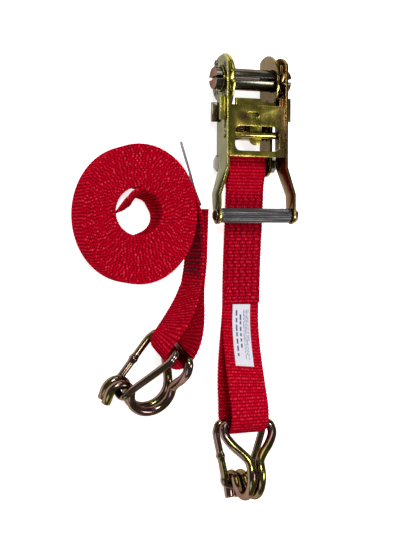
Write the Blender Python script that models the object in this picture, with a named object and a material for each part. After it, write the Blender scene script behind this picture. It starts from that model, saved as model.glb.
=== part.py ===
"""Two-part ratchet tie down for 35 mm webbing, laid out flat on the ground.

Layout frame: X across the buckle, Y along it, Z up from the ground, in millimetres. The helper
functions turn it into metres, and SET_CENTRE moves the origin under the middle of the whole set.
"""

import math

import bmesh
import bpy
from mathutils import Matrix, Vector

MM = 0.001
SET_CENTRE = Vector((-57.3, -10.362, 0.0))  # middle of the footprint, in the layout frame
GAP = 0.3  # clearance between pieces that touch

# Webbing
WEB_WIDTH = 35.0
WEB_THICK = 1.8

# Buckle frame: two side plates, the spool's axis and the anchor bolt's axis
SPOOL_Y = 161.5
SPOOL_Z = 24.5
PLATE_IN = 19.4
PLATE_OUT = 21.9
LOBE_R = 23.5
LOBE_Z = 13.5
NOTCH_DEPTH = 1.5
ANCHOR_D = 71.5  # distance from the spool's axis towards the strap
ANCHOR_Z = 11.0
ANCHOR_R = 11.0
BOLT_R = 4.0
SLEEVE_R = 6.0
BOLT_FLATS = 12.6

# Spool and ratchet wheels
SHAFT_R = 9.3
SPLIT = 1.25  # half of the slot between the two half shafts
SHAFT_LEFT = -35.4
SHAFT_RIGHT = 34.4
WHEEL_IN = 22.4
WHEEL_OUT = 25.4
WHEEL_R = 17.0
ROOT_R = 13.0
TEETH = 12
TOOTH_START = -41.5  # degrees, the steep face under the locking pawl's tip
BORE_R = SHAFT_R + 0.4

# Handle
ARM_IN = 25.9
ARM_OUT = 28.4
ARM_ROUND_R = 20.0
ARM_TOP = 40.0
FLARE = 7.6
GRIP_D = 117.0
GRIP_Z = 33.0
GRIP_R = 6.3
AXLE_R = 3.5
HANDLE_WEB = (36.0, 38.5)
WINDOW = (41.0, 62.0)
BAR_D = 48.0
BAR_Z = 32.6
BAR_R = 3.0

# Pawls: flat plates that slide towards the grip to let go
PAWL_REACH = 33.0
LOCK_Z = (13.9, 16.9)
DRIVE_Z = (32.6, 35.4)
PAWL_BACK = 36.0

# Hook and keeper, bent wire, in the hook's own axes: b across, u along, v to the tip side
HOOK_WIRE_R = 4.0
KEEPER_WIRE_R = 3.2
SHOULDER_B = 22.0
TWIN_B = 4.35
SHANK_U = 38.0
BEND_R = 19.0
CURL_R = 10.0
BEND_TURN = 176.0
CURL_TURN = 168.0
TIP_LENGTH = 9.0
KEEPER_BAR = (-7.0, 13.5)
KEEPER_TILT = 37.0
KEEPER_LENGTH = 58.0
KEEPER_B = 21.5

# Where the hooks lie: middle of the main bar, then the axes across and along
SHORT_BAR = Vector((-8.4, -134.5, 35.7))
SHORT_TILT = 30.0
LONG_BAR = Vector((-67.7, -69.2, 27.9))
LONG_ACROSS = Vector((0.113, -0.376, 0.920)).normalized()
LONG_ALONG = Vector((-0.100, -0.925, -0.366))

# Straps
SHORT_LOOP_R = 15.4
SHORT_LOOP_Y = -127.5
SHORT_LOOP_Z = 28.3
LAYER_Z = (1.0, 3.1, 5.2)
SEWN_END_Y = -32.4
STACK_TOP_Y = 66.0
STACK_RISE = 8.0
STRAP_DRIFT = -8.4
LABEL_END_Y = -90.0
COIL_CENTRE = Vector((-103.3, 44.6, 0.0))
COIL_HALF = (51.2, 58.9)
HOLE_CENTRE = Vector((-104.1, 47.0, 0.0))
HOLE_HALF = (18.6, 18.2)
LONG_LOOP_R = 12.6

ZINC = ("yellow_zinc", (0.52, 0.42, 0.20), 1.0, 0.25)
DULL_ZINC = ("dull_zinc", (0.30, 0.25, 0.12), 1.0, 0.35)
STEEL = ("plain_steel", (0.42, 0.42, 0.40), 1.0, 0.35)
SPRING_STEEL = ("spring_steel", (0.35, 0.33, 0.30), 1.0, 0.3)
GRIP_RUBBER = ("grip_sleeve", (0.12, 0.12, 0.13), 0.0, 0.45)
RED_WEB = ("red_webbing", (0.55, 0.01, 0.03), 0.0, 0.8)
LABEL_WHITE = ("label_fabric", (0.80, 0.80, 0.82), 0.0, 0.7)
TAG_GREY = ("tag_fabric", (0.45, 0.45, 0.47), 0.0, 0.7)

for old in list(bpy.data.objects):
    bpy.data.objects.remove(old, do_unlink=True)

origin = bpy.data.objects.new("set_origin", None)
origin.location = -SET_CENTRE * MM
bpy.context.scene.collection.objects.link(origin)


# ---------------------------------------------------------------- helpers


def material(finish):
    """The material of this finish, made once."""
    name, colour, metallic, roughness = finish
    found = bpy.data.materials.get(name)
    if found:
        return found
    made = bpy.data.materials.new(name)
    made.use_nodes = True
    shader = made.node_tree.nodes["Principled BSDF"]
    shader.inputs["Base Color"].default_value = (*colour, 1.0)
    shader.inputs["Metallic"].default_value = metallic
    shader.inputs["Roughness"].default_value = roughness
    return made


def object_from(name, shape, finish, pivot):
    """An object of a bmesh in layout millimetres, with its origin at pivot."""
    bmesh.ops.recalc_face_normals(shape, faces=shape.faces)
    shape.transform(Matrix.Scale(MM, 4) @ Matrix.Translation(-Vector(pivot)))
    mesh = bpy.data.meshes.new(name)
    shape.to_mesh(mesh)
    shape.free()
    made = bpy.data.objects.new(name, mesh)
    made.location = Vector(pivot) * MM
    made.parent = origin
    bpy.context.scene.collection.objects.link(made)
    bpy.context.view_layer.update()
    if finish:
        mesh.materials.append(material(finish))
    mesh.shade_smooth()
    mesh.set_sharp_from_angle(angle=math.radians(30))
    return made


def combine(target, tool, operation):
    """Joins tool to target, or cuts it away, and removes the tool."""
    modifier = target.modifiers.new(operation.lower(), "BOOLEAN")
    modifier.operation = operation
    modifier.object = tool
    bpy.context.view_layer.update()
    graph = bpy.context.evaluated_depsgraph_get()
    mesh = bpy.data.meshes.new_from_object(target.evaluated_get(graph))
    target.modifiers.clear()
    target.data = mesh
    mesh.name = target.name
    mesh.shade_smooth()
    mesh.set_sharp_from_angle(angle=math.radians(30))
    bpy.data.objects.remove(tool, do_unlink=True)
    return target


def arc(centre, radius, start, end, count):
    """Points along an arc, angles in degrees."""
    points = []
    for step in range(count + 1):
        angle = math.radians(start + (end - start) * step / count)
        points.append((centre[0] + radius * math.cos(angle), centre[1] + radius * math.sin(angle)))
    return points


def side_point(x, point):
    """A layout point from a distance across, and (distance from the spool's axis, height)."""
    return Vector((x, SPOOL_Y - point[0], point[1]))


def add_prism(shape, low, high):
    """Adds a closed prism between two rings of points to a bmesh."""
    bottom = [shape.verts.new(point) for point in low]
    top = [shape.verts.new(point) for point in high]
    shape.faces.new(bottom)
    shape.faces.new(top)
    for index in range(len(low)):
        following = (index + 1) % len(low)
        shape.faces.new((bottom[index], bottom[following], top[following], top[index]))


def side_prism(name, outline, x_low, x_high, finish=None, pivot=(0, 0, 0)):
    """A side-view outline of (distance, height) points, drawn out across the buckle."""
    shape = bmesh.new()
    low = [side_point(x_low, point) for point in outline]
    high = [side_point(x_high, point) for point in outline]
    add_prism(shape, low, high)
    return object_from(name, shape, finish, pivot)


def plan_prism(name, outline, z_low, z_high, finish=None, pivot=(0, 0, 0)):
    """A top-view outline of (across, distance) points, drawn out in height."""
    shape = bmesh.new()
    low = [Vector((x, SPOOL_Y - d, z_low)) for x, d in outline]
    high = [Vector((x, SPOOL_Y - d, z_high)) for x, d in outline]
    add_prism(shape, low, high)
    return object_from(name, shape, finish, pivot)


def box_outline(low, high):
    return [(low[0], low[1]), (high[0], low[1]), (high[0], high[1]), (low[0], high[1])]


def rounded_box(low, high, radius, count=4):
    """A rectangle with round corners."""
    points = []
    left, right = low[0] + radius, high[0] - radius
    bottom, top = low[1] + radius, high[1] - radius
    centres = ((right, top), (left, top), (left, bottom), (right, bottom))
    for quarter, centre in enumerate(centres):
        points += arc(centre, radius, 90 * quarter, 90 * quarter + 90, count)
    return points


def across_cylinder(name, centre, radius, x_low, x_high, sides=32, finish=None, pivot=(0, 0, 0)):
    """A round bar across the buckle, about a (distance, height) centre."""
    outline = arc(centre, radius, 0, 360 - 360 / sides, sides - 1)
    return side_prism(name, outline, x_low, x_high, finish, pivot)


def hexagon(centre, flats, x_low, x_high, name, finish=None, pivot=(0, 0, 0)):
    return side_prism(name, arc(centre, flats / math.sqrt(3), 0, 300, 5), x_low, x_high, finish, pivot)


def smooth(points, steps):
    """A Catmull-Rom curve through points, of any number of coordinates."""
    ends = [2 * points[0] - points[1]] + points + [2 * points[-1] - points[-2]]
    found = []
    for a, b, c, d in zip(ends, ends[1:], ends[2:], ends[3:]):
        for step in range(steps):
            t = step / steps
            square = (2 * a - 5 * b + 4 * c - d) * t**2
            cube = (3 * b - a - 3 * c + d) * t**3
            found.append(0.5 * (2 * b + (c - a) * t + square + cube))
    return found + [points[-1]]


def wire(name, points, radius, finish, pivot, closed=False, sides=10):
    """A bent round wire through points, as a mesh tube with flat ends or as a closed ring."""
    shape = bmesh.new()
    count = len(points)
    tangents = []
    for index in range(count):
        before = points[index - 1] if closed or index else points[0]
        after = points[(index + 1) % count] if closed or index < count - 1 else points[-1]
        tangents.append((after - before).normalized())
    normal = tangents[0].orthogonal().normalized()
    normals = []
    for index in range(count):
        normal = (normal - tangents[index] * normal.dot(tangents[index])).normalized()
        normals.append(normal)
    twist = 0.0
    if closed:
        last = (normal - tangents[0] * normal.dot(tangents[0])).normalized()
        twist = math.atan2(tangents[0].dot(last.cross(normals[0])), last.dot(normals[0]))
    rings = []
    for index in range(count):
        turned = Matrix.Rotation(twist * index / count, 3, tangents[index]) @ normals[index]
        other = tangents[index].cross(turned)
        ring = []
        for side in range(sides):
            angle = 2 * math.pi * side / sides
            offset = turned * math.cos(angle) + other * math.sin(angle)
            ring.append(shape.verts.new(points[index] + offset * radius))
        rings.append(ring)
    pairs = list(zip(rings, rings[1:])) + ([(rings[-1], rings[0])] if closed else [])
    for first, second in pairs:
        for side in range(sides):
            following = (side + 1) % sides
            shape.faces.new((first[side], first[following], second[following], second[side]))
    if not closed:
        shape.faces.new(rings[0])
        shape.faces.new(rings[-1])
    return object_from(name, shape, finish, pivot)


def ribbon(name, stations, width, thickness, finish, pivot):
    """A strip along stations of (middle, direction across), which turn the strip about its length."""
    shape = bmesh.new()
    rings = []
    for index, (middle, across) in enumerate(stations):
        before = stations[max(index - 1, 0)][0]
        after = stations[min(index + 1, len(stations) - 1)][0]
        along = (after - before).normalized()
        side = (across - along * across.dot(along)).normalized()
        up = along.cross(side)
        corners = ((-1, -1), (1, -1), (1, 1), (-1, 1))
        ring = []
        for a, b in corners:
            ring.append(shape.verts.new(middle + side * (a * width / 2) + up * (b * thickness / 2)))
        rings.append(ring)
    for first, second in zip(rings, rings[1:]):
        for side in range(4):
            following = (side + 1) % 4
            shape.faces.new((first[side], first[following], second[following], second[side]))
    shape.faces.new(rings[0])
    shape.faces.new(rings[-1])
    return object_from(name, shape, finish, pivot)


# ---------------------------------------------------------------- buckle frame

SPOOL_PIVOT = Vector((0.0, SPOOL_Y, SPOOL_Z))
ANCHOR_PIVOT = Vector((0.0, SPOOL_Y - ANCHOR_D, ANCHOR_Z))
GRIP_PIVOT = Vector((0.0, SPOOL_Y - GRIP_D, GRIP_Z))
SPOOL_AXIS = (0.0, SPOOL_Z)
ANCHOR_AXIS = (ANCHOR_D, ANCHOR_Z)
GRIP_AXIS = (GRIP_D, GRIP_Z)


def lobe_outline(start, end):
    """The round end of a side plate, with two shallow notches that hold the opened handle."""
    notches = ((158, 164), (186, 192))
    points = []
    reached = start
    for first, last in notches:
        points += arc((0.0, LOBE_Z), LOBE_R, reached, first, 10)
        points += arc((0.0, LOBE_Z), LOBE_R - NOTCH_DEPTH, first + 1, last - 1, 1)
        reached = last
    return points + arc((0.0, LOBE_Z), LOBE_R, reached, end, 3)


def build_frame():
    """Two side plates with round lobes, joined by a cross web with a spring lug."""
    ground = 180 + math.degrees(math.asin(LOBE_Z / LOBE_R))
    outline = lobe_outline(62, ground)
    outline += arc(ANCHOR_AXIS, ANCHOR_R, 270, 440, 12)
    outline += [(60.0, 21.6), (36.0, 22.6), (29.0, 25.5)]
    frame = side_prism("frame", outline, PLATE_IN, PLATE_OUT, ZINC, SPOOL_PIVOT)
    left = side_prism("frame_left", outline, -PLATE_OUT, -PLATE_IN)
    web = plan_prism("frame_web", box_outline((-PLATE_IN - 1, 24), (PLATE_IN + 1, 50)), 2.5, 5.0)
    lug = plan_prism("frame_lug", box_outline((-5, 47.8), (5, 50)), 3.5, 20.5)
    for piece in (web, left, lug):
        combine(frame, piece, "UNION")
    reach = PLATE_OUT + 2
    for centre, radius in ((SPOOL_AXIS, BORE_R), (ANCHOR_AXIS, BOLT_R + GAP)):
        combine(frame, across_cylinder("bore", centre, radius, -reach, reach), "DIFFERENCE")
    slot = rounded_box((15.2, LOCK_Z[0] - 0.6), (42.8, LOCK_Z[1] + 0.6), 1.0, 2)
    for side in (-1, 1):
        low, high = sorted((side * (PLATE_IN - 1), side * reach))
        combine(frame, side_prism("pawl_slot", slot, low, high), "DIFFERENCE")


def build_anchor():
    """Bolt with a hexagon head, its nut, and the sleeve that the short strap loops round."""
    face = PLATE_OUT + GAP
    head = hexagon(ANCHOR_AXIS, BOLT_FLATS, -face - 5.0, -face, "anchor_bolt", STEEL, ANCHOR_PIVOT)
    shank = across_cylinder("shank", ANCHOR_AXIS, BOLT_R, -PLATE_OUT - 1.0, PLATE_OUT + 8.2, 24)
    combine(head, shank, "UNION")
    nut = hexagon(ANCHOR_AXIS, BOLT_FLATS, face, face + 6.2, "anchor_nut", STEEL, ANCHOR_PIVOT)
    hole = across_cylinder("hole", ANCHOR_AXIS, BOLT_R + GAP, PLATE_OUT - 1, PLATE_OUT + 8, 24)
    combine(nut, hole, "DIFFERENCE")
    reach = PLATE_IN - GAP
    sleeve = across_cylinder("anchor_sleeve", ANCHOR_AXIS, SLEEVE_R, -reach, reach, 32, STEEL, ANCHOR_PIVOT)
    hole = across_cylinder("hole", ANCHOR_AXIS, BOLT_R + GAP, -reach - 1, reach + 1, 24)
    combine(sleeve, hole, "DIFFERENCE")


# ---------------------------------------------------------------- spool


def half_disc(radius, flat, side, count):
    """The D of one half shaft: a disc cut off at a distance from its middle."""
    angle = math.degrees(math.acos(flat / radius))
    points = arc((0.0, 0.0), radius, -angle, angle, count)
    return [(side * d, SPOOL_Z + z) for d, z in points]


def build_spool():
    """Two half shafts with the slot between them, two ratchet wheels, washers and cotter pins."""
    cotter_x = {"left": SHAFT_LEFT + 2.8, "right": SHAFT_RIGHT - 2.5}
    for label, side in (("upper", -1), ("lower", 1)):
        outline = half_disc(SHAFT_R, SPLIT, side, 14)
        shaft = side_prism(f"spool_half_{label}", outline, SHAFT_LEFT, SHAFT_RIGHT, DULL_ZINC, SPOOL_PIVOT)
        for x in cotter_x.values():
            shape = bmesh.new()
            ring = arc((x, SPOOL_Z), 2.0, 0, 330, 11)
            y_low, y_high = sorted((SPOOL_Y - side * 0.5, SPOOL_Y - side * 12.0))
            low = [Vector((a, y_low, b)) for a, b in ring]
            high = [Vector((a, y_high, b)) for a, b in ring]
            add_prism(shape, low, high)
            combine(shaft, object_from("cotter_hole", shape, None, (0, 0, 0)), "DIFFERENCE")
    pitch = 360 / TEETH
    outline = []
    for tooth in range(TEETH):
        start = TOOTH_START + tooth * pitch
        outline += arc(SPOOL_AXIS, WHEEL_R, start, start, 1)[:1]
        outline += arc(SPOOL_AXIS, ROOT_R, start + 0.8, start + 3.5, 1)
        outline += arc(SPOOL_AXIS, WHEEL_R, start + 26.5, start + 26.5, 1)[:1]
    for label, side in (("left", -1), ("right", 1)):
        low, high = sorted((side * WHEEL_IN, side * WHEEL_OUT))
        wheel = side_prism(f"ratchet_wheel_{label}", outline, low, high, ZINC, SPOOL_PIVOT)
        for half in (-1, 1):
            hole = side_prism("hole", half_disc(SHAFT_R + GAP, SPLIT - GAP, half, 14), low - 1, high + 1)
            combine(wheel, hole, "DIFFERENCE")
        low, high = sorted((side * (ARM_OUT + GAP), side * (ARM_OUT + GAP + 1.2)))
        washer = across_cylinder(f"spool_washer_{label}", SPOOL_AXIS, 11.5, low, high, 32, ZINC, SPOOL_PIVOT)
        hole = across_cylinder("hole", SPOOL_AXIS, SHAFT_R + GAP, low - 1, high + 1, 32)
        combine(washer, hole, "DIFFERENCE")
        build_cotter(f"cotter_pin_{label}", cotter_x[label])


def build_cotter(name, x):
    """A split pin: two legs side by side through both half shafts, an eye, and spread ends."""
    eye = arc((0.0, 12.6), 2.3, -56, 236, 12)
    legs = [(0.95, -9.5), (1.4, -11.5), (3.6, -13.8)]
    outline = [(a, d) for a, d in reversed(legs)] + [(0.95, 0.0), (0.95, 9.8)] + eye
    outline += [(-0.95, 9.8), (-0.95, 0.0)] + [(-a, d) for a, d in legs]
    points = [Vector((x, SPOOL_Y + d, SPOOL_Z + a)) for a, d in outline]
    wire(name, points, 0.8, STEEL, SPOOL_PIVOT, sides=8)


# ---------------------------------------------------------------- handle


def build_arm(side):
    """One arm: a strip that flares out to the grip, cut to the arm's side view."""
    plan = [(ARM_IN, -22), (ARM_IN, 76), (ARM_IN + FLARE, 99), (ARM_IN + FLARE, 127)]
    plan += [(ARM_OUT + FLARE, 127), (ARM_OUT + FLARE, 98.3), (ARM_OUT, 75.3), (ARM_OUT, -22)]
    outline = arc(SPOOL_AXIS, ARM_ROUND_R, 129.2, 339.5, 20)
    outline += [(60.0, 18.2), (95.0, 23.0)]
    outline += arc(GRIP_AXIS, 7.5, 262, 450, 12)
    outline += [(100.0, ARM_TOP + 0.2), (60.0, ARM_TOP)]
    name = "handle" if side > 0 else "handle_left"
    arm = plan_prism(name, [(side * x, d) for x, d in plan], 0, 60, ZINC, SPOOL_PIVOT)
    low, high = sorted((side * 20.0, side * 40.0))
    return combine(arm, side_prism("arm_side", outline, low, high), "INTERSECT")


def build_handle():
    """Two arms joined by a web with a window, and bores for spool, pawl, bar and axle."""
    handle = build_arm(1)
    combine(handle, build_arm(-1), "UNION")
    web = plan_prism("web", box_outline((-ARM_IN - 1, 23.2), (ARM_IN + 1, 67.0)), *HANDLE_WEB)
    window = plan_prism("window", rounded_box((-20.5, WINDOW[0]), (20.5, WINDOW[1]), 5.0), 30, 45)
    combine(web, window, "DIFFERENCE")
    oval = plan_prism("oval", rounded_box((-10.0, 29.4), (1.5, 35.0), 2.7), 30, 45)
    combine(web, oval, "DIFFERENCE")
    combine(handle, web, "UNION")
    slot = rounded_box((14.6, DRIVE_Z[0] - 0.5), (43.0, DRIVE_Z[1] + 0.5), 1.0, 2)
    for side in (-1, 1):
        low, high = sorted((side * (ARM_IN - 1), side * (ARM_OUT + 1)))
        combine(handle, across_cylinder("bore", SPOOL_AXIS, BORE_R, low, high), "DIFFERENCE")
        combine(handle, side_prism("slot", slot, low, high), "DIFFERENCE")
        hole = across_cylinder("hole", (BAR_D, BAR_Z), BAR_R + GAP, low, high, 24)
        combine(handle, hole, "DIFFERENCE")
        low, high = sorted((side * (ARM_IN + FLARE - 1), side * (ARM_OUT + FLARE + 1)))
        combine(handle, across_cylinder("hole", GRIP_AXIS, AXLE_R + GAP, low, high, 24), "DIFFERENCE")
    reach = ARM_OUT + 0.8
    across_cylinder("finger_bar", (BAR_D, BAR_Z), BAR_R, -reach, reach, 24, ZINC, SPOOL_PIVOT)


def build_grip():
    """Ribbed sleeve that turns on an axle with a domed head and a nut."""
    reach = ARM_IN + FLARE - GAP
    ribs = 18
    outline = []
    for rib in range(ribs):
        start = rib * 360 / ribs
        outline += arc(GRIP_AXIS, GRIP_R, start, start + 10, 1)
        outline += arc(GRIP_AXIS, GRIP_R - 0.7, start + 13, start + 17, 1)
    sleeve = side_prism("grip_sleeve", outline, -reach, reach, GRIP_RUBBER, GRIP_PIVOT)
    hole = across_cylinder("hole", GRIP_AXIS, AXLE_R + GAP, -reach - 1, reach + 1, 24)
    combine(sleeve, hole, "DIFFERENCE")
    outer = ARM_OUT + FLARE + GAP
    axle = across_cylinder("grip_axle", GRIP_AXIS, AXLE_R, -outer - 1.0, outer + 3.6, 24, STEEL, GRIP_PIVOT)
    shape = bmesh.new()
    rings = []
    for step in range(4):
        angle = math.radians(90 * step / 4)
        ring = arc(GRIP_AXIS, 5.6 * math.cos(angle), 0, 345, 23)
        rings.append([shape.verts.new(side_point(-outer - 2.6 * math.sin(angle), point)) for point in ring])
    for first, second in zip(rings, rings[1:]):
        for index in range(24):
            following = (index + 1) % 24
            shape.faces.new((first[index], first[following], second[following], second[index]))
    shape.faces.new(rings[0])
    shape.faces.new(rings[-1])
    combine(axle, object_from("dome", shape, None, (0, 0, 0)), "UNION")
    nut = hexagon(GRIP_AXIS, 10.8, outer, outer + 3.0, "grip_nut", STEEL, GRIP_PIVOT)
    hole = across_cylinder("hole", GRIP_AXIS, AXLE_R + GAP, outer - 1, outer + 4, 24)
    combine(nut, hole, "DIFFERENCE")


# ---------------------------------------------------------------- pawls and springs


def mirrored(right):
    """An outline of the right half, front to back, closed with its mirror image."""
    return right + [(-x, d) for x, d in reversed(right)]


def build_pawls():
    """The locking pawl in the frame and the driving pawl in the handle, with their springs."""
    right = [(18.8, 21.0), (18.8, 16.0), (22.1, 16.0), (22.1, 12.6), (25.7, 12.6), (25.7, 19.4)]
    right += [(PAWL_REACH, 19.4), (PAWL_REACH, PAWL_BACK)]
    pivot = Vector((0.0, SPOOL_Y - PAWL_BACK, sum(LOCK_Z) / 2))
    pawl = plan_prism("locking_pawl", mirrored(right), *LOCK_Z, DULL_ZINC, pivot)
    tab = plan_prism("tab", arc((9.5, PAWL_BACK), 4.0, 0, 180, 8) + [(5.5, 34), (13.5, 34)], *LOCK_Z)
    combine(pawl, tab, "UNION")
    spring("locking_pawl_spring", 0.0, sum(LOCK_Z) / 2, PAWL_BACK + GAP, 47.8 - GAP, pivot)

    step = [(-18.7, 17.0), (3.5, 17.0), (6.0, 19.6), (18.7, 20.2), (18.7, 24.5), (22.4, 24.5), (22.4, 15.8)]
    step += [(PAWL_REACH, 15.8), (PAWL_REACH, PAWL_BACK), (-PAWL_REACH, PAWL_BACK), (-PAWL_REACH, 15.8)]
    step += [(-22.4, 15.8), (-22.4, 24.5), (-18.7, 24.5)]
    pivot = Vector((0.0, SPOOL_Y - PAWL_BACK, sum(DRIVE_Z) / 2))
    pawl = plan_prism("driving_pawl", step, *DRIVE_Z, ZINC, pivot)
    tongue_z = (26.4, 29.1)
    block_outline = box_outline((-3.0, 31.0), (8.6, PAWL_BACK - 0.5))
    block = plan_prism("block", block_outline, tongue_z[0] + 0.5, DRIVE_Z[1] - 0.5)
    tongue = plan_prism("tongue", [(-3.0, 31.5), (8.6, 31.5)] + arc((2.8, 50.4), 5.8, 0, 180, 10), *tongue_z)
    combine(pawl, block, "UNION")
    combine(pawl, tongue, "UNION")
    spring("driving_pawl_spring", -12.8, 32.4, PAWL_BACK + GAP, BAR_D - BAR_R - GAP, pivot)


def spring(name, x, z, start, end, pivot):
    """A compression spring between two distances from the spool's axis."""
    wire_r, coil_r, turns, steps = 0.5, 2.4, 5, 9
    points = []
    for step in range(turns * steps + 1):
        angle = 2 * math.pi * step / steps
        d = start + wire_r + (end - start - 2 * wire_r) * step / (turns * steps)
        points.append(Vector((x + coil_r * math.cos(angle), SPOOL_Y - d, z + coil_r * math.sin(angle))))
    wire(name, points, wire_r, SPRING_STEEL, pivot, sides=6)


# ---------------------------------------------------------------- hooks


def hook_outline():
    """The hook's wire from the main bar's middle to one tip, as (b, u, v) points."""
    half = [(0.0, 0.0), (10.0, 0.0), (17.2, 0.2), (20.8, 1.8), (SHOULDER_B, 5.6), (21.4, 11.0), (16.6, 19.0)]
    half += [(9.4, 27.0), (5.4, 32.6), (TWIN_B, 37.0)]
    points = [Vector((b, u, 0.0)) for b, u in half]
    points = smooth(points, 2)
    for step in range(15):
        angle = math.radians(BEND_TURN * step / 14)
        points.append(Vector((TWIN_B, SHANK_U + BEND_R * math.sin(angle), BEND_R - BEND_R * math.cos(angle))))
    turn = math.radians(BEND_TURN)
    middle = points[-1] + Vector((0.0, CURL_R * math.sin(turn), -CURL_R * math.cos(turn)))
    for step in range(1, 12):
        angle = turn - math.radians(CURL_TURN * step / 11)
        points.append(middle + Vector((0.0, -CURL_R * math.sin(angle), CURL_R * math.cos(angle))))
    heading = turn - math.radians(CURL_TURN)
    points.append(points[-1] + Vector((0.0, math.cos(heading), math.sin(heading))) * TIP_LENGTH)
    return points


def keeper_outline():
    """The keeper's closed ring, as (b, u, v) points: bar, legs and the flat apex over the curl."""
    half = [(0.0, 0.0), (10.0, 0.0), (17.0, 0.2), (20.3, 1.8), (KEEPER_B, 5.4), (21.2, 12.5)]
    half += [(12.6, 46.0), (12.2, 52.5), (10.4, 56.2), (6.0, KEEPER_LENGTH), (0.0, KEEPER_LENGTH)]
    tilt = math.radians(KEEPER_TILT)
    right = smooth([Vector((b, w, 0.0)) for b, w in half], 3)
    ring = right + [Vector((-p.x, p.y, 0.0)) for p in reversed(right[1:-1])]
    bar_u, bar_v = KEEPER_BAR
    return [Vector((p.x, bar_u + p.y * math.cos(tilt), bar_v + p.y * math.sin(tilt))) for p in ring]


def build_hook(prefix, bar, across, along, loop_middle):
    """A double-J wire hook and its keeper ring, hung in the strap's loop."""
    tipward = across.cross(along)
    if tipward.dot(TIP_SIDE[prefix]) < 0:
        tipward = -tipward

    def world(point):
        return bar + across * point.x + along * point.y + tipward * point.z

    half = hook_outline()
    whole = [Vector((-p.x, p.y, p.z)) for p in reversed(half[1:])] + half
    wire(f"{prefix}_hook", [world(p) for p in whole], HOOK_WIRE_R, ZINC, loop_middle, sides=12)
    keeper_pivot = world(Vector((0.0, *KEEPER_BAR)))
    ring = [world(p) for p in keeper_outline()]
    wire(f"{prefix}_hook_keeper", ring, KEEPER_WIRE_R, ZINC, keeper_pivot, closed=True, sides=10)


TIP_SIDE = {"short": Vector((0, 0, -1)), "long": Vector((-1, 0, 0))}
SHORT_LOOP = Vector((STRAP_DRIFT, SHORT_LOOP_Y, SHORT_LOOP_Z))
LONG_ALONG_TRUE = (LONG_ALONG - LONG_ACROSS * LONG_ALONG.dot(LONG_ACROSS)).normalized()
LONG_TIPWARD = -LONG_ACROSS.cross(LONG_ALONG_TRUE)
LONG_LOOP = LONG_BAR - 3.4 * LONG_ALONG_TRUE + 6.5 * LONG_TIPWARD


# ---------------------------------------------------------------- straps


def ease(start, end, count):
    """Side-view points that leave start level, sink or rise, and meet end level."""
    points = []
    for step in range(count + 1):
        t = step / count
        rise = t * t * (3 - 2 * t)
        points.append((start[0] + (end[0] - start[0]) * t, start[1] + (end[1] - start[1]) * rise))
    return points


def drift(y):
    """How far the short strap's middle lies to the left at this y."""
    t = min(max((SEWN_END_Y - y) / (SEWN_END_Y - SHORT_LOOP_Y - SHORT_LOOP_R), 0.0), 1.0)
    return STRAP_DRIFT * t * t * (3 - 2 * t)


def stack_z(layer, y):
    """Height of a layer of the sewn stack, which climbs stiffly from the ground to the anchor."""
    t = (y - SEWN_END_Y) / (STACK_TOP_Y - SEWN_END_Y)
    return LAYER_Z[layer] + STACK_RISE * t * t * (2 - t)


def strap_stations(path):
    return [(Vector((drift(y), y, z)), Vector((1.0, 0.0, 0.0))) for y, z in path]


def short_upper_layer():
    """The strap's front layer from the hook loop's top to the sewn part."""
    return ease((SHORT_LOOP_Y, SHORT_LOOP_Z + SHORT_LOOP_R), (SEWN_END_Y - 6.0, LAYER_Z[1]), 14)


def build_short_strap():
    """One webbing: sewn end, loop round the anchor sleeve, ground layer, hook loop, front layer."""
    anchor_y = SPOOL_Y - ANCHOR_D
    turn_r = SLEEVE_R + GAP + WEB_THICK / 2
    climb = [SEWN_END_Y, -15.0, 5.0, 25.0, 45.0]
    path = [(y, stack_z(2, y)) for y in climb]
    path += ease((STACK_TOP_Y, stack_z(2, STACK_TOP_Y)), (anchor_y, ANCHOR_Z + turn_r), 8)
    path += arc((anchor_y, ANCHOR_Z), turn_r, 90, -90, 12)[1:-1]
    path += ease((anchor_y, ANCHOR_Z - turn_r), (STACK_TOP_Y, stack_z(0, STACK_TOP_Y)), 8)
    path += [(y, stack_z(0, y)) for y in reversed(climb)]
    path += ease((SEWN_END_Y - 8.0, LAYER_Z[0]), (SHORT_LOOP_Y, SHORT_LOOP_Z - SHORT_LOOP_R), 12)
    path += arc((SHORT_LOOP_Y, SHORT_LOOP_Z), SHORT_LOOP_R, 270, 90, 16)[1:-1]
    path += short_upper_layer()
    path += [(y, stack_z(1, y)) for y in climb + [62.0]]
    ribbon("short_strap", strap_stations(path), WEB_WIDTH, WEB_THICK, RED_WEB, ANCHOR_PIVOT)


def build_label():
    """The sewn-in label, which lies along the front layer below the sewn part."""
    lift = WEB_THICK / 2 + GAP + 0.25
    upper = [point for point in reversed(short_upper_layer()) if point[0] > LABEL_END_Y]
    stations = strap_stations([(y, z + lift) for y, z in upper])
    ribbon("short_strap_label", stations, 17.0, 0.5, LABEL_WHITE, ANCHOR_PIVOT)


def build_coil():
    """The long strap's roll as an oval ring, with the hole it is rolled round."""
    shape = bmesh.new()
    count = 64
    rings = []
    for centre, half, z in (
        (COIL_CENTRE, COIL_HALF, 0.0),
        (COIL_CENTRE, COIL_HALF, WEB_WIDTH),
        (HOLE_CENTRE, HOLE_HALF, WEB_WIDTH),
        (HOLE_CENTRE, HOLE_HALF, 0.0),
    ):
        ring = []
        for step in range(count):
            angle = 2 * math.pi * step / count
            x = centre.x + half[0] * math.cos(angle)
            y = centre.y + half[1] * math.sin(angle)
            ring.append(shape.verts.new((x, y, z)))
        rings.append(ring)
    for first, second in zip(rings, rings[1:] + rings[:1]):
        for index in range(count):
            following = (index + 1) % count
            shape.faces.new((first[index], first[following], second[following], second[index]))
    object_from("long_strap_coil", shape, RED_WEB, COIL_CENTRE)


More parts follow.
